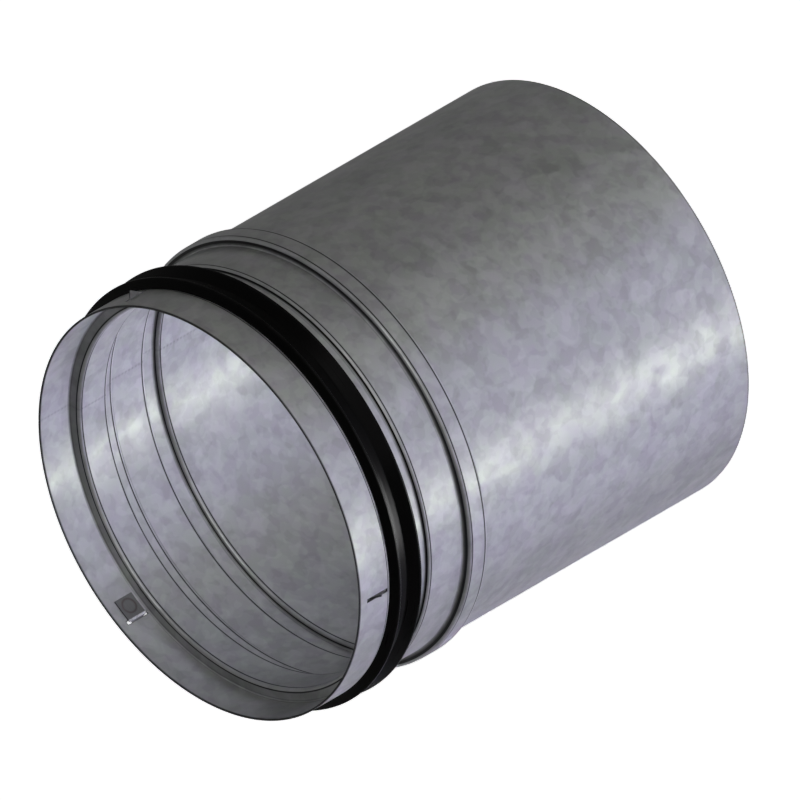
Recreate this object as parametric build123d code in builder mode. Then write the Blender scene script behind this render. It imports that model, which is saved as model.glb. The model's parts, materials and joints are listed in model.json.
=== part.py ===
from build123d import *
import math
import os

# Round duct extension piece: a plain sleeve end below, a spigot end with a stop bead above.
# The duct axis is Z and the origin is the centre of the plain end's rim.
# "From the rim" means the distance below the spigot's rim, along the axis.

# Driving dimensions of the sheet steel body, in millimetres and degrees
bore_diameter = 125.0  # inside of the plain end, the nominal duct size
total_length = 150.0
sheet = 0.6
bend_inside = 0.4  # radius on the hollow side of a rolled bend
fold_inside = 0.1  # the same for the two tight folds behind the gasket
spigot_length = 40.0  # from the rim to the face of the stop bead
spigot_play = 0.14  # by which the spigot's radius is smaller than the bore's
stop_length = 7.0
stop_rise = 1.85  # of the stop bead over the body
seat_from_rim = 11.9  # where the gasket's groove begins
seat_length = 9.6
seat_depth = 3.96  # of the groove, under the spigot's outside
land_depth = 1.26  # of the shallow land behind the groove
land_length = 5.03  # from the groove to the foot of the ramp
ramp_angle = 65.0  # of the step from the land back up to the spigot

# Driving dimensions of the lip gasket
gasket_play = 0.05  # between the rubber and the steel
lip_rise = 2.69  # of both lips over the spigot
lip_land = 0.55  # width of a lip's flat top
front_lip_set_in = 0.85  # from the groove's end to the lip's top
rear_lip_set_in = 0.2
front_lip_slope = 1.2  # width of the slope behind the front lip
rear_lip_slope = 2.95  # width of the slope before the rear lip
trough_rise = 0.1  # of the trough's floor over the spigot
trough_flat = 1.55  # length of the floor's level stretch
trough_step = 0.2  # by which the floor then rises towards the rear lip
tip_round = 0.2
root_round = 0.5
nose_width = 0.69  # of the nose that laps over the bend before the groove
nose_angle = 19.5
heel_width = 0.71  # of the heel that laps over the fold behind the groove
heel_angle = 50.0

# Driving dimensions of the snap hooks, each folded from a small plate
hook_count = 3
hook_sheet = 0.5
hook_fold_inside = 0.2
first_fold_angle = -0.25  # of the first hook's fold, from the X axis
hook_from_seat = 5.2  # from the gasket's groove to the middle of the hook
hook_width = 6.4  # along the duct
plate_reach = 6.4  # of the welded plate, round the duct
plate_play = 0.03  # between the plate and the spigot's inside
barb_height = 1.95  # over the spigot's outside
barb_lean = 25.0  # from the radial direction
barb_shoulder = 0.6  # by which the barb starts behind the plate's front edge
barb_forward = 0.35  # of the barb's tip, towards the rim
barb_round = 0.25
slot_side_play = 0.07  # beside the barb, where it leaves the slot
slot_end_play = 0.6
weld_diameter = 4.2
weld_depth = 0.12
weld_set_back = 3.4  # from the fold to the weld's centre

# Radii, measured from the duct's axis
half_sheet = sheet / 2
bore_radius = bore_diameter / 2
body_middle = bore_radius + half_sheet
stop_middle = body_middle + stop_rise
spigot_radius = bore_radius - spigot_play
spigot_middle = spigot_radius - half_sheet
seat_floor = spigot_radius - seat_depth
land_radius = spigot_radius - land_depth
lip_radius = spigot_radius + lip_rise
trough_radius = spigot_radius + trough_rise
plate_middle = spigot_radius - sheet - plate_play - hook_sheet / 2

# Heights over the plain end's rim
seat_top = total_length - seat_from_rim
seat_bottom = seat_top - seat_length
land_end = seat_bottom - land_length
ramp_end = land_end - land_depth / math.tan(math.radians(ramp_angle))
stop_top = total_length - spigot_length
stop_bottom = stop_top - stop_length
hook_height = seat_top + hook_from_seat

# A cut across a snap hook, with X pointing outwards from the duct's axis and the fold at Y = 0:
# the barb's middle line starts where the fold ends, and the slot is as wide as the barb needs
fold_middle = hook_fold_inside + hook_sheet / 2
lean = math.radians(barb_lean)
barb_start = (
    plate_middle + fold_middle * (1 - math.sin(lean)),
    fold_middle * math.cos(lean),
)
barb_length = (spigot_radius + barb_height - barb_start[0]) / math.cos(lean)
barb_end = (
    barb_start[0] + barb_length * math.cos(lean),
    barb_start[1] + barb_length * math.sin(lean),
)
barb_leaves = barb_start[1] + (spigot_radius - barb_start[0]) * math.tan(lean)
slot_width = barb_leaves + hook_sheet / 2 / math.cos(lean) + slot_side_play
slot_length = hook_width + 2 * slot_end_play

os.makedirs("parts", exist_ok=True)

# The body is one strip of sheet, drawn along its middle from rim to rim and turned round the
# axis. Each corner is given with the radius on the hollow side of its bend.
strip = [
    ((spigot_middle, seat_top + half_sheet), bend_inside),
    ((seat_floor - half_sheet, seat_top + half_sheet), bend_inside),
    ((seat_floor - half_sheet, seat_bottom - half_sheet), fold_inside),
    ((land_radius - half_sheet, seat_bottom - half_sheet), fold_inside),
    ((land_radius - half_sheet, land_end), bend_inside),
    ((spigot_middle, ramp_end), bend_inside),
    ((spigot_middle, stop_top - half_sheet), bend_inside),
    ((stop_middle, stop_top - half_sheet), bend_inside),
    ((stop_middle, stop_bottom + half_sheet), bend_inside),
    ((body_middle, stop_bottom + half_sheet), bend_inside),
]
with BuildPart() as duct_body:
    with BuildSketch(Plane.XZ):
        with BuildLine():
            FilletPolyline(
                (spigot_middle, total_length),
                *[corner for corner, inside in strip],
                (body_middle, 0),
                radius=[inside + half_sheet for corner, inside in strip],
            )
        trace(line_width=sheet)
    revolve(axis=Axis.Z)
    # The slots through which the snap hooks reach out, each one beginning at its hook's fold
    with BuildSketch(Plane.XY.offset(hook_height - slot_length / 2)):
        with PolarLocations(spigot_middle, hook_count, start_angle=first_fold_angle):
            Rectangle(4 * sheet, slot_width, align=(Align.CENTER, Align.MIN))
    extrude(amount=slot_length, mode=Mode.SUBTRACT)
duct_body.part.label = "duct_body"
export_step(duct_body.part, "parts/duct_body.step")

# The gasket has a foot that fills the groove, and two lips with a trough between them. A nose
# in front and a heel behind lap over the bends at the groove's mouth: each starts where the
# foot's side ends and runs straight, at its angle to that side, clear of the bend's outside.
nose_bend = bend_inside + sheet
nose_turn = math.radians(nose_angle)
nose_foot = (
    spigot_radius - nose_bend + (nose_bend + gasket_play) * math.tan(nose_turn / 2),
    seat_top - gasket_play,
)
nose_tip = (
    nose_foot[0] + nose_width * math.cos(nose_turn),
    nose_foot[1] + nose_width * math.sin(nose_turn),
)
heel_bend = fold_inside + sheet
heel_turn = math.radians(heel_angle)
heel_foot = (
    land_radius - heel_bend + (heel_bend + gasket_play) * math.tan(heel_turn / 2),
    seat_bottom + gasket_play,
)
heel_tip = (
    heel_foot[0] + heel_width * math.cos(heel_turn),
    heel_foot[1] - heel_width * math.sin(heel_turn),
)
foot_corner = seat_floor + gasket_play
front_tip = seat_top - front_lip_set_in
front_root = front_tip - lip_land - front_lip_slope
rear_tip = seat_bottom + rear_lip_set_in
rear_root = rear_tip + lip_land + rear_lip_slope
section = [
    ((foot_corner, seat_top - gasket_play), bend_inside),
    (nose_foot, 0),
    (nose_tip, 0),
    ((lip_radius, front_tip), tip_round),
    ((lip_radius, front_tip - lip_land), tip_round),
    ((trough_radius, front_root), root_round),
    ((trough_radius, front_root - trough_flat), 0),
    ((trough_radius + trough_step, rear_root), root_round),
    ((lip_radius, rear_tip + lip_land), tip_round),
    ((lip_radius, rear_tip), tip_round),
    (heel_tip, 0),
    (heel_foot, 0),
    ((foot_corner, seat_bottom + gasket_play), bend_inside),
]
with BuildPart() as lip_gasket:
    with BuildSketch(Plane.XZ):
        with BuildLine():
            FilletPolyline(
                *[corner for corner, rounding in section],
                radius=[rounding for corner, rounding in section],
                close=True,
            )
        make_face()
    revolve(axis=Axis.Z)
lip_gasket.part.label = "lip_gasket"
export_step(lip_gasket.part, "parts/lip_gasket.step")

# The snap hooks: a plate lies against the spigot's inside, its edge is folded out through the
# slot, and the barb stands outside.
plate_angle = math.degrees(plate_reach / plate_middle)
weld_angle = math.degrees(weld_set_back / plate_middle)
for number in range(hook_count):
    # The plane of a cut across the hook, with X pointing outwards through the fold
    fold_angle = first_fold_angle + number * 360 / hook_count
    across = Plane.XY.offset(hook_height).rotated((0, 0, fold_angle))
    # The plane of the barb, with X pointing away from the rim and Y to the barb's tip
    barb_face = Plane(
        origin=across.from_local_coords(barb_start),
        x_dir=-across.z_dir,
        z_dir=across.x_dir * math.sin(lean) - across.y_dir * math.cos(lean),
    )
    # The plane across the weld, with Z pointing outwards through the plate
    weld_face = Plane(
        origin=across.origin,
        x_dir=across.z_dir,
        z_dir=across.rotated((0, 0, -weld_angle)).x_dir,
    )
    with BuildPart() as snap_hook:
        with BuildSketch(across):
            with BuildLine():
                CenterArc((0, 0), plate_middle, -plate_angle, plate_angle)
                CenterArc((plate_middle + fold_middle, 0), fold_middle, 180, barb_lean - 90)
                Line(barb_start, barb_end)
            trace(line_width=hook_sheet)
        extrude(amount=hook_width / 2, both=True)
        # The barb tapers to a rounded tip
        with BuildSketch(barb_face):
            Rectangle(2 * hook_width, 2 * barb_length, align=(Align.CENTER, Align.MIN))
            with BuildLine():
                FilletPolyline(
                    (barb_shoulder - hook_width / 2, 0),
                    (-barb_forward, barb_length),
                    (hook_width / 2, 0),
                    radius=barb_round,
                )
                Line((hook_width / 2, 0), (barb_shoulder - hook_width / 2, 0))
            make_face(mode=Mode.SUBTRACT)
        extrude(amount=hook_sheet, both=True, mode=Mode.SUBTRACT)
        # The round mark of the spot weld, on the side that faces the duct's axis
        with BuildSketch(weld_face.offset(plate_middle - hook_sheet / 2 + weld_depth)):
            Circle(weld_diameter / 2)
        extrude(amount=-hook_sheet, mode=Mode.SUBTRACT)
    snap_hook.part.label = f"snap_hook_{number + 1}"
    export_step(snap_hook.part, f"parts/snap_hook_{number + 1}.step")
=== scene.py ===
import json
import math

import bpy
import numpy as np
from mathutils import Matrix, Vector


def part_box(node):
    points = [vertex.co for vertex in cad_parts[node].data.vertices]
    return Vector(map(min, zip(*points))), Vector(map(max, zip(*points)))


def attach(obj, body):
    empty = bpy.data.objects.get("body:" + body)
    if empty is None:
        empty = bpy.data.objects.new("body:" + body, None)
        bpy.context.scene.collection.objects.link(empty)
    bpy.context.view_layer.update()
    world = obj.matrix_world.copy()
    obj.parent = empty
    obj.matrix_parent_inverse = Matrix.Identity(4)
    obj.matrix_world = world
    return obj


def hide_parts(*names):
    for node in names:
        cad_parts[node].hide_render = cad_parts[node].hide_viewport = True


# The looks of a round duct extension piece. It stands on its plain end, with its axis on Z and
# the spigot on top. Sizes below are in millimetres and degrees, and meshes are in metres.
# "From the rim" means the distance below the spigot's rim, along the axis.
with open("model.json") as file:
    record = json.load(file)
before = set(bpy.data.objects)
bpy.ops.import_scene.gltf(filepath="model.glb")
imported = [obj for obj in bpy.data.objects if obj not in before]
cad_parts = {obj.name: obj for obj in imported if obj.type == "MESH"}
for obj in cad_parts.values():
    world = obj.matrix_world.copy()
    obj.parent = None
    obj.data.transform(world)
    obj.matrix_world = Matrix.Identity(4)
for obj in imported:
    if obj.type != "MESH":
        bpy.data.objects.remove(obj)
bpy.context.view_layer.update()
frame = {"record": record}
MM = 0.001

# Sizes that the frame gives
mounts = {mount["name"]: mount for mount in frame["record"]["mounts"]}
bore_radius = mounts["duct_bore"]["dims"]["r_mm"]
spigot_radius = mounts["spigot"]["dims"]["r_mm"]
stop_top = mounts["spigot"]["pos_m"][2] / MM
total_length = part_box("duct_body")[1].z / MM
stop_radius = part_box("duct_body")[1].x / MM
lip_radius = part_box("lip_gasket")[1].x / MM

# The sheet's section
sheet = 0.6
bend_inside = 0.4  # radius on the hollow side of a rolled bend
fold_inside = 0.1  # the same for the two tight folds behind the gasket
rim_round = 0.14  # of the edges of both rims
stop_length = 7.0
seat_from_rim = 11.9  # where the gasket's groove begins
seat_length = 9.6
seat_depth = 3.96  # of the groove, under the spigot's outside
land_depth = 1.26  # of the shallow land behind the groove
land_length = 5.03  # from the groove to the foot of the ramp
ramp_angle = 65.0  # of the step from the land back up to the spigot

# The gasket's section
gasket_play = 0.05  # between the rubber and the steel
lip_land = 0.55  # width of a lip's flat top
front_lip_set_in = 0.85  # from the groove's end to the lip's top
rear_lip_set_in = 0.2
front_lip_slope = 1.2  # width of the slope behind the front lip
rear_lip_slope = 2.95  # width of the slope before the rear lip
trough_rise = 0.1  # of the trough's floor over the spigot
trough_flat = 1.55  # length of the floor's level stretch
trough_step = 0.2  # by which the floor then rises towards the rear lip
tip_round = 0.2
root_round = 0.5
slight_round = 0.1  # of the corners that look sharp
nose_width = 0.69  # of the nose that laps over the bend before the groove
nose_angle = 19.5
heel_width = 0.71  # of the heel that laps over the fold behind the groove
heel_angle = 50.0

# The snap hooks and their slots
hook_count = 3
hook_sheet = 0.5
hook_fold_inside = 0.2
first_fold_angle = -0.25  # of the first hook's fold, from the X axis
hook_from_seat = 5.2  # from the gasket's groove to the middle of the hook
hook_width = 6.4  # along the duct
plate_reach = 6.4  # of the welded plate, round the duct
plate_play = 0.03  # between the plate and the spigot's inside
barb_height = 1.95  # over the spigot's outside
barb_lean = 25.0  # from the radial direction
barb_shoulder = 0.6  # by which the barb starts behind the plate's front edge
barb_forward = 0.35  # of the barb's tip, towards the rim
barb_round = 0.25
slot_side_play = 0.07  # beside the barb, where it leaves the slot
slot_end_play = 0.6
weld_diameter = 4.2
weld_depth = 0.12
weld_set_back = 3.4  # from the fold to the weld's centre
weld_edge = 0.22  # width of the weld mark's sloping border
heat_width = 0.3  # half the width of the heat-tinted ring on that border
edge_round = 0.07  # of the hooks' edges
edge_share = 0.9  # of the barb's half width, the most that its edges' roundings take
tip_half_width = 0.01  # of the barb where it ends

# The weld seam that closes the rolled sheet
seam_angle = 180.0
seam_half_width = 0.36
seam_rise = 0.035
seam_ripple = 1.3  # from one ripple of the weld to the next

# The share of a die mark's darkness that shows in a hollow bend
hollow_mark = 0.2

# Derived radii, heights and lengths
half_sheet = sheet / 2
spigot_middle = spigot_radius - half_sheet
body_middle = bore_radius + half_sheet
stop_middle = stop_radius - half_sheet
stop_bottom = stop_top - stop_length
seat_top = total_length - seat_from_rim
seat_bottom = seat_top - seat_length
seat_floor = spigot_radius - seat_depth
land_radius = spigot_radius - land_depth
land_end = seat_bottom - land_length
ramp_end = land_end - land_depth / math.tan(math.radians(ramp_angle))
hook_height = seat_top + hook_from_seat
slot_length = hook_width + 2 * slot_end_play
slot_top = hook_height + slot_length / 2
slot_bottom = hook_height - slot_length / 2
plate_middle = spigot_radius - sheet - plate_play - hook_sheet / 2
fold_middle = hook_fold_inside + hook_sheet / 2
lean = math.radians(barb_lean)
fold_length = fold_middle * (math.pi / 2 - lean)
fold_end = plate_reach + fold_length
barb_start_out = fold_middle * (1 - math.sin(lean))
barb_start_aside = fold_middle * math.cos(lean)
barb_length = (spigot_radius + barb_height - plate_middle - barb_start_out) / math.cos(lean)
slot_width = (
    barb_start_aside
    + (spigot_radius - plate_middle - barb_start_out) * math.tan(lean)
    + hook_sheet / 2 / math.cos(lean)
    + slot_side_play
)

# How finely the surfaces are divided
columns = 360  # even steps round the duct
column_gap = 0.35  # nearer than this to a slot's side or the seam, an even step is left out
seam_columns = 9  # places across the seam, evenly spaced
seam_reach = 2  # half widths of the seam that they cover on both sides of its middle
bend_step = math.radians(13)  # the most by which one step turns in a bend
longest_step = 9.0
bend_reach = 0.42  # from a bend to the nearest station on the flat beside it
shortest_divided = 3 * bend_reach  # a straight run shorter than this has no stations on it
same_place = 0.001  # a share of a run: a station this near to the run's end is left out
cut_reach = 0.22  # from a slot's edge to the nearest station beside it
rim_steps = 4  # round each of a rim's two edges
plate_steps = 59  # along a hook's plate, then round its fold and up its barb
fold_steps = 9
barb_steps = 25
shoulder_step = 0.05  # over which the strip's full width drops to the barb's
face_steps = 39  # across a hook's face, then round each of its edges
edge_steps = 3
sharpest_smooth = math.radians(40)  # an edge that turns by more is shaded sharp


def rounded_line(corners, closed=False):
    """Points along straight runs joined by tangent arcs, with their left normals.

    Each corner is a place and a radius. Where the line turns by the angle a, an arc of radius r
    starts r tan(a/2) before the corner. With d the first run's direction and m the direction
    across it on the side of the turn, the arc's point at the angle t is its start
    + r (sin t d + (1 - cos t) m), and the tangent there is cos t d + sin t m. The third result
    is 0 on a straight run, 1 on an arc that turns left and -1 on one that turns right.
    """
    places = np.array([place for place, radius in corners], float)
    radii = [radius for place, radius in corners]
    count = len(corners)
    points, tangents, bends = [], [], []
    for index, (place, radius) in enumerate(zip(places, radii)):
        before = places[index - 1] if closed or index > 0 else None
        after = places[(index + 1) % count] if closed or index < count - 1 else None
        if before is None or after is None:
            run = after - place if before is None else place - before
            points.append(place[None])
            tangents.append((run / np.linalg.norm(run))[None])
            bends.append(np.zeros(1))
            continue
        run_in = (place - before) / np.linalg.norm(place - before)
        run_out = (after - place) / np.linalg.norm(after - place)
        turn = math.acos(np.clip(run_in @ run_out, -1, 1))
        across = (run_out - run_in * math.cos(turn)) / math.sin(turn)
        pieces = max(2, math.ceil(turn / bend_step))
        angle = np.linspace(0, turn, pieces + 1)[:, None]
        start = place - run_in * radius * math.tan(turn / 2)
        points.append(start + radius * (np.sin(angle) * run_in + (1 - np.cos(angle)) * across))
        tangents.append(np.cos(angle) * run_in + np.sin(angle) * across)
        side = math.copysign(1, run_in[0] * run_out[1] - run_in[1] * run_out[0])
        bends.append(np.full(pieces + 1, side))
    points, tangents, bends = (np.concatenate(part) for part in (points, tangents, bends))
    normals = np.stack([-tangents[:, 1], tangents[:, 0]], axis=1)
    return points, normals, bends


def with_stations(points, normals, bends, heights=(), closed=False):
    """Adds points on the straight runs: at the given heights, near both ends, and in between.

    The points near the ends keep the mark of a bend from spreading over the flat beside it, and
    the others keep every step shorter than the longest one.
    """
    if closed:
        points, normals, bends = (
            np.concatenate([part, part[:1]]) for part in (points, normals, bends)
        )
    fine = [(points[0], normals[0], bends[0])]
    for index in range(1, len(points)):
        start = points[index - 1]
        run = points[index] - start
        length = np.linalg.norm(run)
        if length > shortest_divided:
            steps = math.ceil(length / longest_step)
            shares = [step / steps for step in range(1, steps)]
            shares += [bend_reach / length, 1 - bend_reach / length]
            shares += [(height - start[1]) / run[1] for height in heights if run[1]]
            for share in sorted(shares):
                if same_place < share < 1 - same_place:
                    fine.append((start + share * run, normals[index], 0.0))
        fine.append((points[index], normals[index], bends[index]))
    if closed:
        fine.pop()
    return tuple(np.array(part) for part in zip(*fine))


def make_mesh(name, vertices, faces, masks):
    """A smooth-shaded object from a grid of vertices in millimetres, with masks on the grid."""
    mesh = bpy.data.meshes.new(name)
    mesh.from_pydata((vertices.reshape(-1, 3) * MM).tolist(), [], faces)
    mesh.shade_smooth()
    mesh.set_sharp_from_angle(angle=sharpest_smooth)
    for key, mask in masks.items():
        layer = mesh.attributes.new(key, "FLOAT", "POINT")
        values = np.broadcast_to(mask, vertices.shape[:2]).astype(np.float32)
        layer.data.foreach_set("value", values.ravel())
    mesh.validate()
    piece = bpy.data.objects.new(name, mesh)
    bpy.context.scene.collection.objects.link(piece)
    return piece


def loop_quads(loops, count, ring=False):
    """Quads from each closed loop of so many vertices to the next, and in a ring to the first."""
    j, k = np.meshgrid(np.arange(loops if ring else loops - 1), np.arange(count), indexing="ij")
    next_j, next_k = (j + 1) % loops, (k + 1) % count
    corners = [(j, k), (j, next_k), (next_j, next_k), (next_j, k)]
    return np.stack([row * count + place for row, place in corners], axis=2)


def turned_ring(angles, loop_radius, loop_height, lift=0.0):
    """Vertices and quads of a closed loop (radius, height) turned about Z through the angles.

    Vertex (j, k) lies at (r cos a_j, r sin a_j, z), with r the loop's radius at k plus the lift.
    """
    radius = np.broadcast_to(loop_radius + lift, (len(angles), len(loop_radius)))
    x = radius * np.cos(angles)[:, None]
    y = radius * np.sin(angles)[:, None]
    vertices = np.stack([x, y, np.broadcast_to(loop_height, radius.shape)], axis=2)
    return vertices, loop_quads(*radius.shape, ring=True)


def fold_angle(number):
    """The angle of a hook's fold, in degrees, where its slot has one of its sides."""
    return first_fold_angle + 360 * number / hook_count


def body_angles():
    """Angles round the duct: even steps, the slots' sides, and fine steps at sides and seam."""
    even = np.linspace(0, 360, columns, endpoint=False)
    near_seam = np.linspace(-seam_reach, seam_reach, seam_columns) * seam_half_width
    special = [seam_angle + np.degrees(near_seam / bore_radius)]
    for number in range(hook_count):
        places = np.array([-cut_reach, 0, slot_width, slot_width + cut_reach])
        special.append(fold_angle(number) + np.degrees(places / spigot_middle))
    special = np.concatenate(special) % 360
    gap = np.abs((even[:, None] - special[None, :] + 180) % 360 - 180).min(axis=1)
    return np.radians(np.sort(np.concatenate([even[gap > column_gap], special])))


def rim_edges(start, end, way):
    """Quarter circles round a rim's two edges, from the end of one skin to the other's start.

    At the angle t, the first has gone r sin t along the axis, up or down by the way, and
    r (1 - cos t) towards the other skin. The second mirrors it.
    """
    angle = np.linspace(0, math.pi / 2, rim_steps + 1)[1:]
    along, across = way * rim_round * np.sin(angle), rim_round * (1 - np.cos(angle))
    across = across * math.copysign(1, end[0] - start[0])
    first = np.stack([start[0] + across, start[1] + along], axis=1)
    second = np.stack([end[0] - across, end[1] + along], axis=1)
    return np.concatenate([first, second[::-1]])


def sheet_section():
    """The closed loop round the sheet's section, its masks, its lift and its stations' heights.

    The middle line is offset by half the sheet to both sides. The outer skin runs from the
    spigot's rim to the plain end and the inner skin back, over the same stations, and the rims'
    edges close the loop. The masks mark the points on a bulging bend, in a hollow one, on a
    sheared rim, and where a bend starts or ends. The lift tells in which direction the seam
    stands out: 1 away from the axis, -1 towards it.
    """
    bend, fold = bend_inside + half_sheet, fold_inside + half_sheet
    strip = [
        ((spigot_middle, total_length - rim_round), 0),
        ((spigot_middle, seat_top + half_sheet), bend),
        ((seat_floor - half_sheet, seat_top + half_sheet), bend),
        ((seat_floor - half_sheet, seat_bottom - half_sheet), fold),
        ((land_radius - half_sheet, seat_bottom - half_sheet), fold),
        ((land_radius - half_sheet, land_end), bend),
        ((spigot_middle, ramp_end), bend),
        ((spigot_middle, stop_top - half_sheet), bend),
        ((stop_middle, stop_top - half_sheet), bend),
        ((stop_middle, stop_bottom + half_sheet), bend),
        ((body_middle, stop_bottom + half_sheet), bend),
        ((body_middle, rim_round), 0),
    ]
    middle, normals, bends = with_stations(
        *rounded_line(strip),
        heights=[slot_top, slot_bottom, slot_top + cut_reach, slot_bottom - cut_reach],
    )
    outer = middle + half_sheet * normals
    inner = middle - half_sheet * normals
    plain_rim = rim_edges(outer[-1], inner[-1], -1)
    spigot_rim = rim_edges(inner[0], outer[0], 1)
    loop = np.concatenate([outer, plain_rim, inner[::-1], spigot_rim])

    rim, no_rim = np.ones(len(plain_rim)), np.zeros(len(plain_rim))
    hollow = np.concatenate([bends, no_rim, -bends[::-1], no_rim])
    changes = np.diff(bends, prepend=0, append=0) != 0
    mark = (bends != 0) & (changes[:-1] | changes[1:])
    mark = np.concatenate([mark, no_rim, mark[::-1], no_rim])
    sheared = np.zeros(len(outer))
    sheared[[0, -1]] = 1
    masks = {
        "edge": np.clip(-hollow, 0, 1),
        "crease": np.clip(hollow, 0, 1),
        "cut": np.concatenate([sheared, rim, sheared, rim]),
        "mark": mark * np.where(hollow > 0, hollow_mark, 1.0),
    }
    lift = -np.ones(len(loop))
    lift[: len(outer)] = 1
    lift[len(outer) : len(outer) + rim_steps] = 0
    return loop, masks, lift, middle[:, 1]


def duct_body():
    """The rolled sheet: its section turned about Z, with slots for the hooks and a raised seam.

    The seam's relief is exp(-x * x), with x the distance from its middle in half widths. Vertex k
    of the outer skin lies across the sheet from vertex last - k of the inner one, so a slot is
    cut by leaving out its cells in both skins, and a wall joins the two borders all round it.
    """
    loop, masks, lift, heights = sheet_section()
    angles = body_angles()
    from_seam = (angles - math.radians(seam_angle)) * bore_radius / seam_half_width
    seam = np.exp(-(from_seam**2))[:, None] * np.ones(len(loop))
    vertices, quads = turned_ring(angles, loop[:, 0], loop[:, 1], seam * lift * seam_rise)

    top, bottom = (int(np.argmin(np.abs(heights - end))) for end in (slot_top, slot_bottom))
    last = 2 * (len(heights) + rim_steps) - 1
    down = np.arange(top, bottom + 1)
    cut = np.broadcast_to(masks["cut"], seam.shape).copy()
    kept = np.ones(seam.shape, bool)
    walls = []
    for number in range(hook_count):
        side = math.radians(fold_angle(number))
        first = int(np.argmax(np.cos(angles - side)))
        second = int(np.argmax(np.cos(angles - side - slot_width / spigot_middle)))
        across = (first + np.arange((second - first) % len(angles) + 1)) % len(angles)
        for rows in (down, last - down[::-1]):
            cut[np.ix_(across, rows)] = 1
            kept[np.ix_(across[:-1], rows[:-1])] = False
        # Once round the slot: down its first side, along its end, up the second side and back
        sides = [np.full(len(down) - 1, column) for column in (first, second)]
        ends = [np.full(len(across) - 1, row) for row in (bottom, top)]
        column = np.concatenate([sides[0], across[:-1], sides[1], across[:0:-1]])
        row = np.concatenate([down[:-1], ends[0], down[:0:-1], ends[1]])
        border = column * len(loop) + row
        behind = column * len(loop) + last - row
        walls.append(np.stack([border, np.roll(border, -1), np.roll(behind, -1), behind], axis=1))
    faces = np.concatenate([quads[kept], *walls]).tolist()
    return make_mesh("duct_body_rolled", vertices, faces, {"seam": seam, **masks, "cut": cut})


def lap_over(skin, bend, angle, width, height, way):
    """The foot and the tip of the nose or the heel, which lap over a bend of the steel.

    The bend's centre lies below the steel's skin by the bend's outer radius. With R that radius
    plus the play, the foot's side and the line that leaves it at the angle both touch a circle
    of radius R, so the foot lies R tan(angle / 2) beyond the centre. The tip is a width further
    on, in the way that is 1 for up and -1 for down.
    """
    turn = math.radians(angle)
    foot = np.array([skin - bend + (bend + gasket_play) * math.tan(turn / 2), height])
    return foot, foot + width * np.array([math.cos(turn), way * math.sin(turn)])


def lip_gasket():
    """The rubber ring: its outline with rounded corners, turned about Z."""
    foot_top, foot_bottom = seat_top - gasket_play, seat_bottom + gasket_play
    foot_corner = seat_floor + gasket_play
    nose_foot, nose_tip = lap_over(
        spigot_radius, bend_inside + sheet, nose_angle, nose_width, foot_top, 1
    )
    heel_foot, heel_tip = lap_over(
        land_radius, fold_inside + sheet, heel_angle, heel_width, foot_bottom, -1
    )
    trough_radius = spigot_radius + trough_rise
    front_tip = seat_top - front_lip_set_in
    front_root = front_tip - lip_land - front_lip_slope
    rear_tip = seat_bottom + rear_lip_set_in
    rear_root = rear_tip + lip_land + rear_lip_slope
    section = [
        ((foot_corner, foot_top), bend_inside),
        (nose_foot, slight_round),
        (nose_tip, slight_round),
        ((lip_radius, front_tip), tip_round),
        ((lip_radius, front_tip - lip_land), tip_round),
        ((trough_radius, front_root), root_round),
        ((trough_radius, front_root - trough_flat), slight_round),
        ((trough_radius + trough_step, rear_root), root_round),
        ((lip_radius, rear_tip + lip_land), tip_round),
        ((lip_radius, rear_tip), tip_round),
        (heel_tip, slight_round),
        (heel_foot, slight_round),
        ((foot_corner, foot_bottom), bend_inside),
    ]
    outline, _, bends = with_stations(*rounded_line(section, closed=True), closed=True)
    angles = np.linspace(0, 2 * math.pi, columns, endpoint=False)
    vertices, quads = turned_ring(angles, outline[:, 0], outline[:, 1])
    faces = quads.reshape(-1, 4).tolist()
    return make_mesh("lip_gasket_ring", vertices, faces, {"edge": np.clip(-bends, 0, 1)})


def hook_line(distance):
    """The middle line of a hook's section, in the plane across the duct.

    Up to plate_reach it follows the circle of the plate's middle, then an arc of the fold's
    middle radius, then the straight lean of the barb. Returns points and outward normals, with
    X pointing outwards through the fold.
    """
    on_plate = np.clip(distance, 0, plate_reach) / plate_middle - plate_reach / plate_middle
    on_fold = np.clip(distance - plate_reach, 0, fold_length) / fold_middle
    on_barb = np.clip(distance - plate_reach - fold_length, 0, None)
    x = plate_middle * np.cos(on_plate) + fold_middle * (1 - np.cos(on_fold))
    y = plate_middle * np.sin(on_plate) + fold_middle * np.sin(on_fold)
    heading = math.pi / 2 + on_plate - on_fold
    points = np.stack([x + on_barb * math.cos(lean), y + on_barb * math.sin(lean)], axis=1)
    normals = np.stack([np.sin(heading), -np.cos(heading)], axis=1)
    return points, normals


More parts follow.
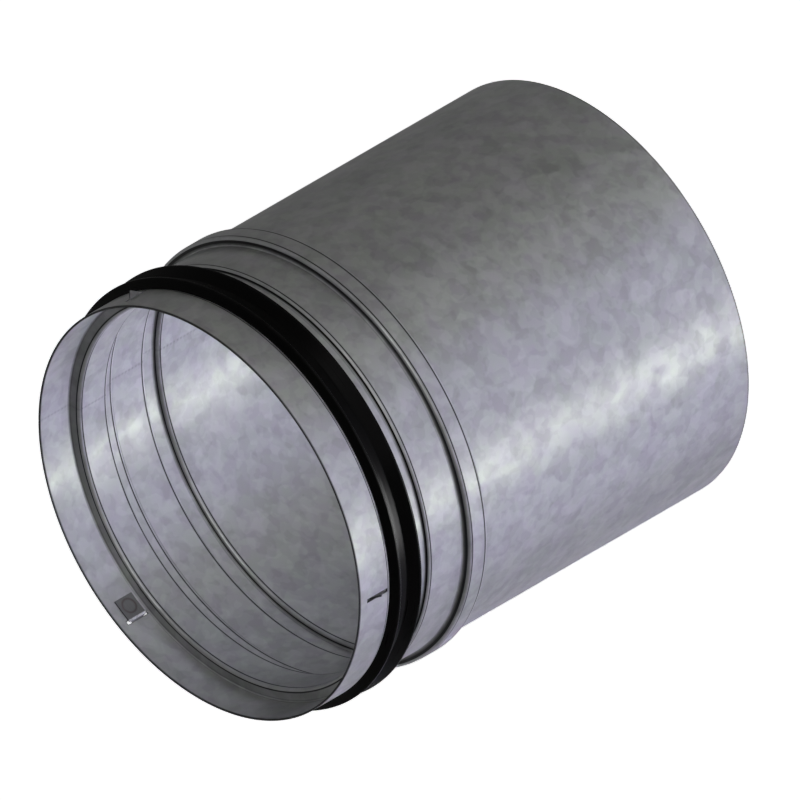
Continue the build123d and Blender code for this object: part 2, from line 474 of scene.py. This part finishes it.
def hook_sides(distance):
    """The upper and lower side of the hook's strip at a distance along its middle line.

    The strip has its full width up to the end of the fold. The barb narrows along two straight
    sides to its tip, where a circle touches both sides. The third result is the tip's distance.
    """
    rise = distance - fold_end
    upper_base, lower_base = hook_width / 2 - barb_shoulder, -hook_width / 2
    upper_tilt = math.atan2(upper_base - barb_forward, barb_length)
    lower_tilt = math.atan2(barb_forward - lower_base, barb_length)
    centre_back = barb_round / math.sin((upper_tilt + lower_tilt) / 2)
    bisector = (upper_tilt - lower_tilt) / 2
    centre = barb_forward + centre_back * math.sin(bisector)
    centre_rise = barb_length - centre_back * math.cos(bisector)
    above_centre = np.clip(rise - centre_rise, 0, None)
    reach = np.sqrt(np.clip(barb_round**2 - above_centre**2, 0, None))
    upper = upper_base - rise * math.tan(upper_tilt)
    lower = lower_base + rise * math.tan(lower_tilt)
    upper = np.where(rise > centre_rise + barb_round * math.sin(upper_tilt), centre + reach, upper)
    lower = np.where(rise > centre_rise + barb_round * math.sin(lower_tilt), centre - reach, lower)
    upper = np.where(rise <= 0, hook_width / 2, upper)
    lower = np.where(rise <= 0, -hook_width / 2, lower)
    return upper, lower, fold_end + centre_rise + barb_round


def hook_stations():
    """Distances along a hook's middle line, closest at its rounded start and at the barb's tip."""
    tip = hook_sides(np.zeros(1))[2]
    start = edge_round * (1 - np.cos(np.linspace(0, math.pi / 2, edge_steps + 1)))
    plate = np.linspace(edge_round, plate_reach, plate_steps + 1)[1:]
    fold = np.linspace(plate_reach, fold_end, fold_steps + 1)[1:]
    barb = fold_end + (tip - fold_end) * np.sin(np.linspace(0, math.pi / 2, barb_steps + 1))[1:]
    return np.concatenate([start, plate, fold, [fold_end + shoulder_step], barb])


def strip_sections(half, half_width):
    """Rounded rectangles, one for each half thickness and half width.

    A loop runs up the outer face, round two edges, down the inner face and round the other two.
    Each edge is a quarter circle: at the angle t it has gone r sin t outwards along the face
    and r (1 - cos t) away from it. Returns the places along the strip's width and through its
    thickness, and whether they lie on its sides.
    """
    half, half_width = half[:, None], half_width[:, None]
    rounding = np.minimum(edge_round, edge_share * half_width)
    angle = np.linspace(0, math.pi / 2, edge_steps + 1)[None, 1:]
    face_z = (half_width - rounding) * np.linspace(-1, 1, face_steps + 1)[None, :]
    edge_z = (half_width - rounding) + rounding * np.sin(angle)
    edge_n = half - rounding * (1 - np.cos(angle))
    face_n = np.broadcast_to(half, face_z.shape)
    up_z = np.concatenate([face_z, edge_z, edge_z[:, ::-1]], axis=1)
    up_n = np.concatenate([face_n, edge_n, -edge_n[:, ::-1]], axis=1)
    loop_z = np.concatenate([up_z, -up_z], axis=1)
    loop_n = np.concatenate([up_n, -up_n], axis=1)
    return loop_z, loop_n, np.abs(loop_z) > half_width - rounding


def snap_hook(number):
    """One folded hook: a strip with a rounded rectangle for its section, carried along its line.

    The plate's end is rounded as its edges are. The weld mark lowers the inner face inside a
    circle, by a smooth step across its border.
    """
    distance = hook_stations()
    points, normals = hook_line(distance)
    upper, lower, _ = hook_sides(distance)
    to_end = np.clip(edge_round - distance, 0, edge_round)
    inset = edge_round - np.sqrt(np.clip(edge_round**2 - to_end**2, 0, None))
    upper, lower = upper - inset, lower + inset
    middle_z = (upper + lower)[:, None] / 2
    half_width = np.maximum((upper - lower) / 2, tip_half_width)
    loop_z, loop_n, on_side = strip_sections(hook_sheet / 2 - inset, half_width)

    inside = loop_n < 0
    from_weld = np.hypot(distance[:, None] - (plate_reach - weld_set_back), loop_z + middle_z)
    border = np.clip((weld_diameter / 2 - from_weld) / weld_edge + 0.5, 0, 1)
    loop_n = loop_n + weld_depth * (border * border * (3 - 2 * border) * inside)
    heated = np.exp(-(((from_weld - weld_diameter / 2) / heat_width) ** 2)) * inside

    x = points[:, 0, None] + normals[:, 0, None] * loop_n
    y = points[:, 1, None] + normals[:, 1, None] * loop_n
    turn = math.radians(fold_angle(number))
    vertices = np.stack(
        [
            x * math.cos(turn) - y * math.sin(turn),
            x * math.sin(turn) + y * math.cos(turn),
            hook_height + middle_z + loop_z,
        ],
        axis=2,
    )
    # These loops run the other way round than a ring's, so their quads are turned over
    quads = loop_quads(*loop_z.shape)[:, :, [0, 3, 2, 1]]
    numbers = np.arange(loop_z.size).reshape(loop_z.shape)
    faces = [*quads.reshape(-1, 4).tolist(), numbers[0].tolist(), numbers[-1, ::-1].tolist()]
    folded = ((distance > plate_reach) & (distance < fold_end))[:, None]
    masks = {"weld": heated, "edge": folded, "cut": on_side & ~folded}
    return make_mesh(f"snap_hook_{number + 1}_folded", vertices, faces, masks)


body = duct_body()
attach(body, "root")
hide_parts("duct_body")
gasket = lip_gasket()
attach(gasket, "root")
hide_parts("lip_gasket")
hooks = []
for number in range(hook_count):
    hook = snap_hook(number)
    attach(hook, "root")
    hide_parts(f"snap_hook_{number + 1}")
    hooks.append(hook)

# Colours of the finishes, in linear light
LAVENDER_ZINC = (0.370, 0.363, 0.386)
GREEN_ZINC = (0.352, 0.370, 0.352)
RUBBED_ZINC = (0.50, 0.50, 0.51)
# painted shade for the creases of hollow bends
PAINTED_CREASE_SHADE = (0.16, 0.16, 0.16)
WELD = (0.24, 0.24, 0.25)
DIE_MARK = (0.03, 0.03, 0.03)
SHEARED_STEEL = (0.035, 0.035, 0.035)
DEEP_RUBBER = (0.0012, 0.0012, 0.0012)
RUBBER = (0.0035, 0.0035, 0.0035)
SCUFFED_RUBBER = (0.012, 0.012, 0.012)
DARK_STRIP = (0.11, 0.11, 0.11)
STRIP = (0.16, 0.16, 0.16)
HEAT_TINT = (0.07, 0.058, 0.05)
# rubbed wear and a painted highlight along the hooks' folds
FOLD_WEAR_AND_HIGHLIGHT = (0.55, 0.55, 0.56)

# Other values of the finishes, where a pair holds the two ends between which one varies
FLAKE_BRIGHTNESS = (0.85, 1.15)
FLAKE_ROUGHNESS = (0.45, 0.33)
RUBBER_ROUGHNESS = (0.24, 0.34)
STRIP_ROUGHNESS = (0.32, 0.5)
STEEL_METALLIC = 0.9
RUBBER_SPECULAR = 0.035


def add_node(tree, kind, settings=(), values=(), feeds=()):
    """Adds a node with its settings, its own socket values, and the outputs that feed its sockets."""
    node = tree.nodes.new(kind)
    for key, value in dict(settings).items():
        setattr(node, key, value)
    for key, value in dict(values).items():
        node.inputs[key].default_value = value
    for key, output in dict(feeds).items():
        tree.links.new(output, node.inputs[key])
    return node


def fill(tree, socket, term):
    """Gives a socket its term, which is another node's output or a plain value."""
    if isinstance(term, bpy.types.NodeSocket):
        tree.links.new(term, socket)
    else:
        socket.default_value = term


def calculate(tree, operation, *terms, kind="ShaderNodeMath"):
    """The result of a Math node, or of one of another kind, from its terms in their order."""
    node = add_node(tree, kind, {"operation": operation})
    for socket, term in zip(node.inputs, terms):
        fill(tree, socket, term)
    return node.outputs[0]


def calculate_vector(tree, operation, *terms):
    """The result of a Vector Math node, whose terms are outputs or plain vectors."""
    return calculate(tree, operation, *terms, kind="ShaderNodeVectorMath")


def scale_vector(tree, vector, factor):
    """A vector made longer or shorter by a factor."""
    feeds = {"Vector": vector, "Scale": factor}
    return add_node(tree, "ShaderNodeVectorMath", {"operation": "SCALE"}, feeds=feeds).outputs[0]


def between(tree, share, first, second):
    """The number that lies between two others by a share from 0 to 1."""
    node = add_node(tree, "ShaderNodeMapRange")
    for key, term in (("Value", share), ("To Min", first), ("To Max", second)):
        fill(tree, node.inputs[key], term)
    return node.outputs["Result"]


def mix_color(tree, share, first, second, blend="MIX"):
    """The colour between two others by a share from 0 to 1, or their product."""
    node = add_node(tree, "ShaderNodeMix", {"data_type": "RGBA", "blend_type": blend})
    fill(tree, node.inputs[0], share)
    for socket, term in ((node.inputs[6], first), (node.inputs[7], second)):
        fill(tree, socket, (*term, 1) if isinstance(term, tuple) else term)
    return node.outputs[2]


def lay_over(tree, color, covers):
    """Lays colours over a colour, each by its mask times its share.

    The mix stops at 1, so a share over 1 makes a mask fuller near its middle.
    """
    for mask, share, cover in covers:
        color = mix_color(tree, calculate(tree, "MULTIPLY", mask, share), color, cover)
    return color


def roughen(tree, rough, changes):
    """Adds to a roughness, or takes from it, each change by its mask."""
    for mask, change in changes:
        rough = calculate(tree, "MULTIPLY_ADD", mask, change, rough)
    return rough


def bump(tree, height, distance, normal=None):
    """A normal that leans with the slope of a height from 0 to 1, worth the distance in metres."""
    node = add_node(tree, "ShaderNodeBump", values={"Distance": distance}, feeds={"Height": height})
    if normal is not None:
        tree.links.new(normal, node.inputs["Normal"])
    return node.outputs["Normal"]


def object_place(tree):
    """Object coordinates, in metres."""
    return add_node(tree, "ShaderNodeTexCoord").outputs["Object"]


def surface_mask(tree, name):
    """One of the numbers that a mesh carries at its points."""
    return add_node(tree, "ShaderNodeAttribute", {"attribute_name": name}).outputs["Fac"]


def noise(tree, place, density, detail):
    """Noise with so many grains in a metre. Returns its number and its colour."""
    feeds = {"Vector": place, "Scale": density}
    node = add_node(tree, "ShaderNodeTexNoise", values={"Detail": detail}, feeds=feeds)
    return node.outputs["Fac"], node.outputs["Color"]


def new_group(name, inputs, outputs):
    """An empty node group: its tree, its named inputs and its results' sockets."""
    tree = bpy.data.node_groups.new(name, "ShaderNodeTree")
    for key in inputs:
        tree.interface.new_socket(key, in_out="INPUT", socket_type="NodeSocketFloat")
    for key, kind in outputs.items():
        tree.interface.new_socket(key, in_out="OUTPUT", socket_type=kind)
    return tree, tree.nodes.new("NodeGroupInput").outputs, tree.nodes.new("NodeGroupOutput").inputs


def use_group(tree, group, values=(), feeds=()):
    """Places a node group in a material. Returns its outputs."""
    return add_node(tree, "ShaderNodeGroup", {"node_tree": group}, values, feeds).outputs


def cut_channels(tree, color, border):
    """Each channel of a colour made 0 below one half and 1 above, with a soft border between."""
    node = add_node(
        tree,
        "ShaderNodeMapRange",
        {"data_type": "FLOAT_VECTOR", "interpolation_type": "SMOOTHSTEP"},
        feeds={"Vector": color},
    )
    for socket, end in ((node.inputs[7], 0.5 - border / 2), (node.inputs[8], 0.5 + border / 2)):
        socket.default_value = (end, end, end)
    return node.outputs["Vector"]


def zinc_spangle():
    """Zinc crystals: ragged cells, overlaid with rounded blotches in two sizes.

    Object coordinates are pushed about by a noise a little finer than the flakes, and a Voronoi
    pattern divides them into cells of random colour. For the blotches, each channel of a colour
    noise is cut at one half, with a narrow soft border. A place's mixed colour gives its
    brightness, its tint and the way in which it leans: the surface's normal plus the colour,
    less one half, times the lean.
    """
    push_fineness, blotch_fineness = 1.3, (0.65, 1.4)  # times as fine as the flakes
    noise_detail = 1.5
    cell_softness = 0.3
    blotch_border = 0.07
    small_blotches, all_blotches = 0.42, 0.55  # the shares that they have in the mix

    tree, given, result = new_group(
        "zinc_spangle",
        ["Flake size", "Raggedness", "Lean"],
        {"Flake": "NodeSocketFloat", "Tint": "NodeSocketFloat", "Normal": "NodeSocketVector"},
    )
    half = (0.5, 0.5, 0.5)
    place = object_place(tree)
    density = calculate(tree, "DIVIDE", 1.0, given["Flake size"])
    push, *blotches = (
        noise(tree, place, calculate(tree, "MULTIPLY", density, finer), noise_detail)[1]
        for finer in (push_fineness, *blotch_fineness)
    )
    push = scale_vector(tree, calculate_vector(tree, "SUBTRACT", push, half), given["Raggedness"])
    cells = add_node(
        tree,
        "ShaderNodeTexVoronoi",
        {"feature": "SMOOTH_F1"},
        {"Smoothness": cell_softness},
        {"Vector": calculate_vector(tree, "ADD", place, push), "Scale": density},
    )
    blotches = [cut_channels(tree, blotch, blotch_border) for blotch in blotches]
    color = mix_color(tree, small_blotches, *blotches)
    color = mix_color(tree, all_blotches, cells.outputs["Color"], color)
    parts = add_node(tree, "ShaderNodeSeparateColor", feeds={0: color}).outputs
    tree.links.new(parts[0], result["Flake"])
    tree.links.new(parts[1], result["Tint"])
    leaning = scale_vector(tree, calculate_vector(tree, "SUBTRACT", color, half), given["Lean"])
    upright = add_node(tree, "ShaderNodeNewGeometry").outputs["Normal"]
    leaning = calculate_vector(tree, "ADD", upright, leaning)
    tree.links.new(calculate_vector(tree, "NORMALIZE", leaning), result["Normal"])
    return tree


def worked_surface():
    """What rolling, drawing or moulding leaves behind: a fine grain, and lines round the duct.

    The grain is a noise on Object coordinates. For the lines, the noise is drawn out in X and Y,
    so that it changes only along the duct's axis.
    """
    grain_detail, line_detail = 2, 3
    stretch = 60  # of the lines' noise, in X and Y

    tree, given, result = new_group(
        "worked_surface",
        ["Grain size", "Line width"],
        {"Grain": "NodeSocketFloat", "Lines": "NodeSocketFloat"},
    )
    place = object_place(tree)
    density = calculate(tree, "DIVIDE", 1.0, given["Grain size"])
    tree.links.new(noise(tree, place, density, grain_detail)[0], result["Grain"])
    drawn_out = add_node(
        tree,
        "ShaderNodeMapping",
        values={"Scale": (1 / stretch, 1 / stretch, 1)},
        feeds={"Vector": place},
    )
    density = calculate(tree, "DIVIDE", 1.0, given["Line width"])
    tree.links.new(noise(tree, drawn_out.outputs[0], density, line_detail)[0], result["Lines"])
    return tree


def patchy_mask():
    """Breaks up a mask, such as that of edges or creases, by a noise with soft patches."""
    noise_detail = 4
    bare_below, full_above = 0.3, 0.6

    tree, given, result = new_group(
        "patchy_mask", ["Mask", "Patch size"], {"Patches": "NodeSocketFloat"}
    )
    density = calculate(tree, "DIVIDE", 1.0, given["Patch size"])
    broken = add_node(
        tree,
        "ShaderNodeMapRange",
        {"interpolation_type": "SMOOTHSTEP"},
        {"From Min": bare_below, "From Max": full_above},
        {"Value": noise(tree, object_place(tree), density, noise_detail)[0]},
    )
    patches = calculate(tree, "MULTIPLY", given["Mask"], broken.outputs["Result"])
    tree.links.new(patches, result["Patches"])
    return tree


def new_material(name):
    """An empty node material: the material, its tree and its Principled shader."""
    material = bpy.data.materials.new(name)
    material.use_nodes = True
    return material, material.node_tree, material.node_tree.nodes["Principled BSDF"]


def set_finish(tree, shader, color, rough, normal):
    """Feeds a shader with what changes over the surface."""
    for key, output in (("Base Color", color), ("Roughness", rough), ("Normal", normal)):
        tree.links.new(output, shader.inputs[key])


def weld_ripples(tree):
    """Bands across the seam, from 0 to 1 and back in each ripple's length."""
    wave_length = 2 * math.pi / 20  # of a Wave texture of scale 1, in metres
    unevenness = 0.6
    return add_node(
        tree,
        "ShaderNodeTexWave",
        {"wave_type": "BANDS", "bands_direction": "Z"},
        {"Scale": wave_length / (seam_ripple * MM), "Distortion": unevenness},
        {"Vector": object_place(tree)},
    ).outputs["Fac"]


def galvanised_steel(spangle, surface, patchy):
    """Hot-dip zinc: grey flakes, some a touch lavender and some a touch green.

    Bends are rubbed brighter outside, and their creases get painted shade: a darker, rougher
    colour in patches. A fine dark die mark lies where each bend begins and ends. Rims and slots
    show bare sheared steel, and a fine rippled weld closes the sheet.
    """
    material, tree, shader = new_material("galvanised_steel_spangle")
    flakes = use_group(tree, spangle, {"Flake size": 4.6 * MM, "Raggedness": 3 * MM, "Lean": 0.06})
    worked = use_group(tree, surface, {"Grain size": 0.6 * MM, "Line width": 0.9 * MM})
    rubbed = use_group(tree, patchy, {"Patch size": 6 * MM}, {"Mask": surface_mask(tree, "edge")})
    # The creases of hollow bends get painted shade, broken into patches
    crease_shade = use_group(tree, patchy, {"Patch size": 9 * MM}, {"Mask": surface_mask(tree, "crease")})
    seam, cut, mark = (surface_mask(tree, name) for name in ("seam", "cut", "mark"))

    tint = mix_color(tree, flakes["Tint"], LAVENDER_ZINC, GREEN_ZINC)
    tone = between(tree, flakes["Flake"], *FLAKE_BRIGHTNESS)
    color = lay_over(
        tree,
        mix_color(tree, 1.0, tint, tone, "MULTIPLY"),
        [
            (rubbed["Patches"], 0.3, RUBBED_ZINC),
            # painted shade in the creases
            (crease_shade["Patches"], 0.35, PAINTED_CREASE_SHADE),
            (seam, 0.45, WELD),
            (mark, 1.6, DIE_MARK),
            (cut, 0.95, SHEARED_STEEL),
        ],
    )
    rough = between(tree, flakes["Tint"], *FLAKE_ROUGHNESS)
    rough = roughen(tree, rough, [(rubbed["Patches"], -0.05), (crease_shade["Patches"], 0.08), (cut, 0.1)])
    relief = calculate(tree, "MULTIPLY", weld_ripples(tree), seam)
    normal = bump(tree, worked["Grain"], 0.012 * MM, flakes["Normal"])
    normal = bump(tree, relief, 0.04 * MM, normal)
    set_finish(tree, shader, color, rough, normal)
    shader.inputs["Metallic"].default_value = STEEL_METALLIC
    return material


def black_rubber(surface, patchy):
    """Moulded rubber: near black, with a soft sheen, faint lines round it and paler lip tips."""
    material, tree, shader = new_material("black_rubber_moulded")
    worked = use_group(tree, surface, {"Grain size": 0.5 * MM, "Line width": 0.5 * MM})
    scuffed = use_group(tree, patchy, {"Patch size": 4 * MM}, {"Mask": surface_mask(tree, "edge")})
    color = mix_color(tree, worked["Grain"], DEEP_RUBBER, RUBBER)
    color = lay_over(tree, color, [(scuffed["Patches"], 0.35, SCUFFED_RUBBER)])
    rough = between(tree, worked["Lines"], *RUBBER_ROUGHNESS)
    rough = roughen(tree, rough, [(scuffed["Patches"], 0.1)])
    normal = bump(tree, worked["Lines"], 0.015 * MM)
    normal = bump(tree, worked["Grain"], 0.012 * MM, normal)
    set_finish(tree, shader, color, rough, normal)
    shader.inputs["Specular IOR Level"].default_value = RUBBER_SPECULAR
    return material


def hook_steel(surface, patchy):
    """Dark spring steel strip: drawing lines, a fold rubbed bright with a painted highlight, dark
    sheared sides, a heat tint.
    """
    material, tree, shader = new_material("hook_steel_strip")
    worked = use_group(tree, surface, {"Grain size": 0.8 * MM, "Line width": 0.2 * MM})
    # The fold's mask in patches, for its rubbed wear and its painted highlight
    rubbed = use_group(tree, patchy, {"Patch size": 1 * MM}, {"Mask": surface_mask(tree, "edge")})
    color = lay_over(
        tree,
        mix_color(tree, worked["Lines"], DARK_STRIP, STRIP),
        [
            (surface_mask(tree, "weld"), 0.75, HEAT_TINT),
            # The fold is painted bright: partly rubbed wear, partly a painted highlight
            (rubbed["Patches"], 0.6, FOLD_WEAR_AND_HIGHLIGHT),
            (surface_mask(tree, "cut"), 0.9, SHEARED_STEEL),
        ],
    )
    rough = between(tree, worked["Grain"], *STRIP_ROUGHNESS)
    set_finish(tree, shader, color, rough, bump(tree, worked["Lines"], 0.008 * MM))
    shader.inputs["Metallic"].default_value = STEEL_METALLIC
    return material


spangle = zinc_spangle()
surface = worked_surface()
patchy = patchy_mask()
body.data.materials.append(galvanised_steel(spangle, surface, patchy))
gasket.data.materials.append(black_rubber(surface, patchy))
strip_steel = hook_steel(surface, patchy)
for hook in hooks:
    hook.data.materials.append(strip_steel)

# The picture: an isometric parallel view from the spigot's side, with the duct's axis running
# from the lower left to the upper right
picture_size = 800
pixels_per_mm = 3.6497
rim_centre_in_picture = (199.08, 513.39)

# The studio: places in metres, levels in which 1 is white, and the lamps' colours
camera_range = (0.01, 20)
floor_reach = 6.0
floor_glow = 0.9
glossy_glow = 0.03
world_level = 0.05
world_glossy_level = 0.245
WHITE = (1, 1, 1)
PALE_GREY = (0.8, 0.8, 0.8)
PALE_LAVENDER = (0.98, 0.965, 1.18)
LAVENDER = (0.98, 0.945, 1.36)
WARM_LIGHT = (0.98, 1.03, 0.9)
PALE_YELLOW = (1.0, 1.0, 0.85)
low = -35  # elevation of the lamps that light the walls from under the floor


def camera():
    """An orthographic camera along (1, 1, 1), rolled so that X runs to the lower right.

    The picture's centre lies to the right of the rim's centre and above it, by the pixels
    between them over the scale.
    """
    right = Vector((1, 0, -1)).normalized()
    up = Vector((-1, 2, -1)).normalized()
    back = Vector((1, 1, 1)).normalized()
    across = (picture_size / 2 - rim_centre_in_picture[0]) / pixels_per_mm
    above = (rim_centre_in_picture[1] - picture_size / 2) / pixels_per_mm
    aim = Vector((0, 0, total_length)) + across * right + above * up
    data = bpy.data.cameras.new("picture_camera")
    data.type = "ORTHO"
    data.ortho_scale = picture_size / pixels_per_mm * MM
    data.clip_start, data.clip_end = camera_range
    holder = bpy.data.objects.new("picture_camera", data)
    turned = Matrix((right, up, back)).transposed().to_4x4()
    holder.matrix_world = Matrix.Translation(aim * MM + back) @ turned
    bpy.context.scene.collection.objects.link(holder)
    bpy.context.scene.camera = holder


def floor():
    """A large pale floor with the object's soft shadow.

    The camera and clear things see it as white: it glows for them by what the lamps leave off.
    Metal sees it dimmer, by glossy_glow.
    """
    mesh = bpy.data.meshes.new("floor")
    corners = [(floor_reach * x, floor_reach * y, 0) for x, y in ((-1, -1), (1, -1), (1, 1), (-1, 1))]
    mesh.from_pydata(corners, [], [(0, 1, 2, 3)])
    piece = bpy.data.objects.new("floor", mesh)
    bpy.context.scene.collection.objects.link(piece)
    material, tree, shader = new_material("pale_floor")
    shader.inputs["Base Color"].default_value = (*PALE_GREY, 1)
    shader.inputs["Roughness"].default_value = 0.9
    shader.inputs["Specular IOR Level"].default_value = 0
    ray = add_node(tree, "ShaderNodeLightPath").outputs
    direct = calculate(tree, "ADD", ray["Is Camera Ray"], ray["Is Transmission Ray"])
    direct = calculate(tree, "MULTIPLY", direct, floor_glow)
    glossy = calculate(tree, "MULTIPLY", ray["Is Glossy Ray"], glossy_glow)
    shader.inputs["Emission Color"].default_value = (*WHITE, 1)
    tree.links.new(calculate(tree, "ADD", direct, glossy), shader.inputs["Emission Strength"])
    mesh.materials.append(material)


def soft_sun(name, azimuth, elevation, strength, spread, color=WHITE, shadow=False):
    """A distant lamp as wide as its spread, in degrees, that shines from the given direction.

    The lamps that light the walls from low down stand behind the floor, so they cast no shadow,
    and only the lamp itself is sampled, since a ray towards it would end at the floor.
    """
    data = bpy.data.lights.new(name, "SUN")
    data.energy = strength
    data.angle = math.radians(spread)
    data.color = color
    data.use_shadow = shadow
    data.cycles.use_multiple_importance_sampling = shadow
    holder = bpy.data.objects.new(name, data)
    round_axis, up = math.radians(azimuth), math.radians(elevation)
    level = math.cos(up)
    source = Vector((level * math.cos(round_axis), level * math.sin(round_axis), math.sin(up)))
    holder.rotation_euler = source.to_track_quat("Z", "Y").to_euler()
    bpy.context.scene.collection.objects.link(holder)
    return holder


def keep_for(lamp, piece, blockers):
    """Lets a lamp show in one piece's gloss only, shaded by the blockers and not by the floor."""
    lit = bpy.data.collections.new(lamp.name + "_lit")
    lit.objects.link(piece)
    lamp.light_linking.receiver_collection = lit
    shading = bpy.data.collections.new(lamp.name + "_shading")
    for blocker in blockers:
        shading.objects.link(blocker)
    lamp.light_linking.blocker_collection = shading
    lamp.visible_diffuse = False
    lamp.data.use_shadow = True


def lights():
    """Low panels round the part, narrow ones for the highlight and the gasket, two from above."""
    soft_sun("left_panel", -88, low, 0.7, 94, PALE_LAVENDER)
    soft_sun("middle_panel", -5, low, 0.82, 96, LAVENDER)
    soft_sun("right_panel", 42, low, 0.41, 84)
    soft_sun("front_wall", 45, low, 0.25, 178, PALE_YELLOW)
    soft_sun("back_panel", 225, -2, 0.2, 36)
    soft_sun("highlight_strip", -10, low, 0.22, 11, WARM_LIGHT)
    soft_sun("glint_lamp", 74, 33, 0.23, 14)
    keep_for(soft_sun("trough_lamp", -7, low, 7.6, 28), gasket, [body, gasket])
    soft_sun("front_lamp", 45, 42, 0.36, 40, shadow=True)


def studio_world():
    """White to the camera and to clear things, dimmer for metal and nearly dark as a light."""
    world = bpy.data.worlds.new("studio")
    bpy.context.scene.world = world
    world.use_nodes = True
    tree = world.node_tree
    background = tree.nodes["Background"]
    ray = add_node(tree, "ShaderNodeLightPath").outputs
    direct = calculate(tree, "ADD", ray["Is Camera Ray"], ray["Is Transmission Ray"])
    level = between(tree, ray["Is Glossy Ray"], world_level, world_glossy_level)
    background.inputs["Color"].default_value = (*WHITE, 1)
    tree.links.new(between(tree, direct, level, 1.0), background.inputs["Strength"])


camera()
floor()
lights()
studio_world()
bpy.context.scene.view_settings.view_transform = "Standard"
